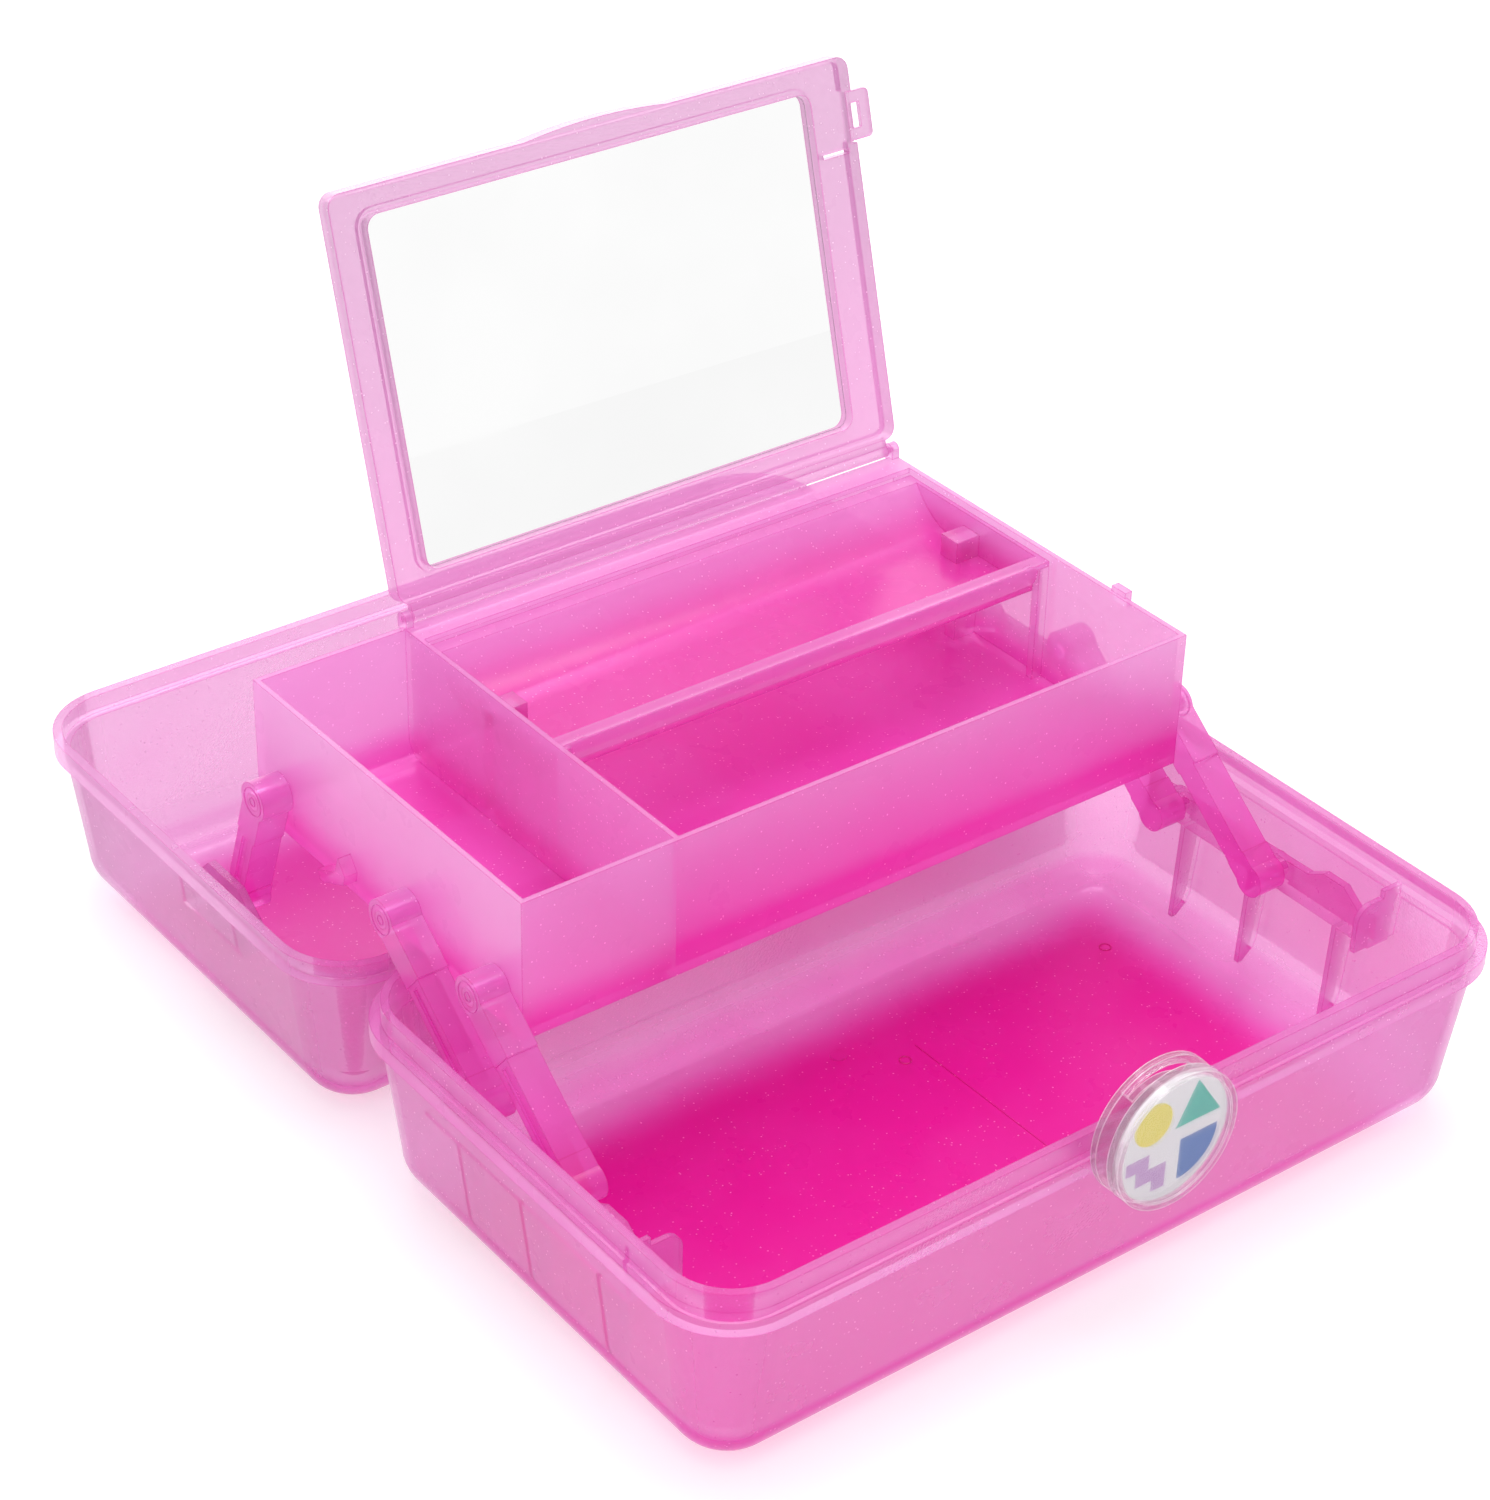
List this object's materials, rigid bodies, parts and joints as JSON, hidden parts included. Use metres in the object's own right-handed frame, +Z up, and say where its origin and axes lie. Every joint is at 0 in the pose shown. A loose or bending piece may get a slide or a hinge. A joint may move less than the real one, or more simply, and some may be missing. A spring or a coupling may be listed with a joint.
{
  "type": "makeup storage case with handle",
  "caption": "Translucent pink makeup case whose cantilevered tray with lift-out trough and mirror cover rises as the lid opens flat, with a folding handle in the lid.",
  "frame": {"origin": "middle of the base shell's underside, on the table", "axes": "+X right, +Y back toward the opened lid, +Z up"},
  "size_m": [0.34, 0.433, 0.2809],
  "materials": {
    "case_plastic": "translucent, fine glitter, semi-gloss",
    "tray_plastic": "translucent, fine glitter, semi-gloss",
    "clear_plastic": "clear, polished",
    "white_print": "matt",
    "mirror": "polished",
    "pin_steel": "satin"
  },
  "bodies": {
    "base": {"base_shell": "case_plastic", "hinge_pin_left": "pin_steel", "hinge_pin_right": "pin_steel", "latch_pin": "pin_steel"},
    "lid": {"lid_shell": "case_plastic"},
    "front_arms": {"front_arm_left": "case_plastic", "front_arm_right": "case_plastic"},
    "rear_arms": {"rear_arm_left": "case_plastic", "rear_arm_right": "case_plastic"},
    "tray": {"main_tray": "tray_plastic"},
    "lid_links": {"lid_link_left": "case_plastic", "lid_link_right": "case_plastic"},
    "cover": {"cover_frame": "case_plastic", "mirror_glass": "mirror"},
    "clip": {"snap_clip": "case_plastic"},
    "trough": {"lift_out_trough": "tray_plastic"},
    "latch": {"latch_body": "clear_plastic", "latch_insert": "white_print", "latch_lens": "clear_plastic"},
    "handle": {"handle": "case_plastic"}
  },
  "joints": [
    {"name": "lid_hinge", "type": "hinge", "parent": "base", "child": "lid", "pos_m": [0, 0.1067, 0.0685], "axis": [-1, 0, 0], "range_deg": [-180, 0]},
    {"name": "front_arm_pivot", "type": "hinge", "parent": "base", "child": "front_arms", "pos_m": [0, -0.003, 0.0504], "axis": [-1, 0, 0], "range_deg": [-117.57, 0]},
    {"name": "rear_arm_pivot", "type": "hinge", "parent": "base", "child": "rear_arms", "pos_m": [0, 0.048, 0.0504], "axis": [-1, 0, 0], "range_deg": [-117.57, 0]},
    {"name": "tray_pivot", "type": "hinge", "parent": "front_arms", "child": "tray", "pos_m": [0, 0.0507, 0.0935], "axis": [-1, 0, 0], "range_deg": [0, 117.57]},
    {"name": "lid_link_pivot", "type": "hinge", "parent": "tray", "child": "lid_links", "pos_m": [0, 0.182, 0.0957], "axis": [-1, 0, 0], "range_deg": [-238.06, 0]},
    {"name": "cover_hinge", "type": "hinge", "parent": "tray", "child": "cover", "pos_m": [0, 0.1992, 0.1344], "axis": [-1, 0, 0], "range_deg": [-105.32, 0]},
    {"name": "clip_flex", "type": "hinge", "parent": "cover", "child": "clip", "pos_m": [0.1376, 0.23258, 0.25642], "axis": [0, 0.2639, 0.9646], "range_deg": [0, 30], "stiffness_Nm_per_rad": 0.02},
    {"name": "trough_lift", "type": "slide", "parent": "tray", "child": "trough", "axis": [0, 0, 1], "range_m": [0, 0.06]},
    {"name": "latch_pivot", "type": "hinge", "parent": "base", "child": "latch", "pos_m": [0, -0.1009, 0.057], "axis": [1, 0, 0], "range_deg": [0, 32]},
    {"name": "handle_hinge", "type": "hinge", "parent": "lid", "child": "handle", "pos_m": [0, 0.2254, 0.00525], "axis": [-1, 0, 0], "range_deg": [-90, 0]}
  ],
  "couplings": [
    {"joint": "front_arm_pivot", "follows": "lid_hinge", "ratio": 0.65305},
    {"joint": "rear_arm_pivot", "follows": "lid_hinge", "ratio": 0.65305},
    {"joint": "tray_pivot", "follows": "lid_hinge", "ratio": -0.65305},
    {"joint": "lid_link_pivot", "follows": "lid_hinge", "ratio": 1.3225},
    {"joint": "cover_hinge", "follows": "lid_hinge", "ratio": 0.585}
  ]
}
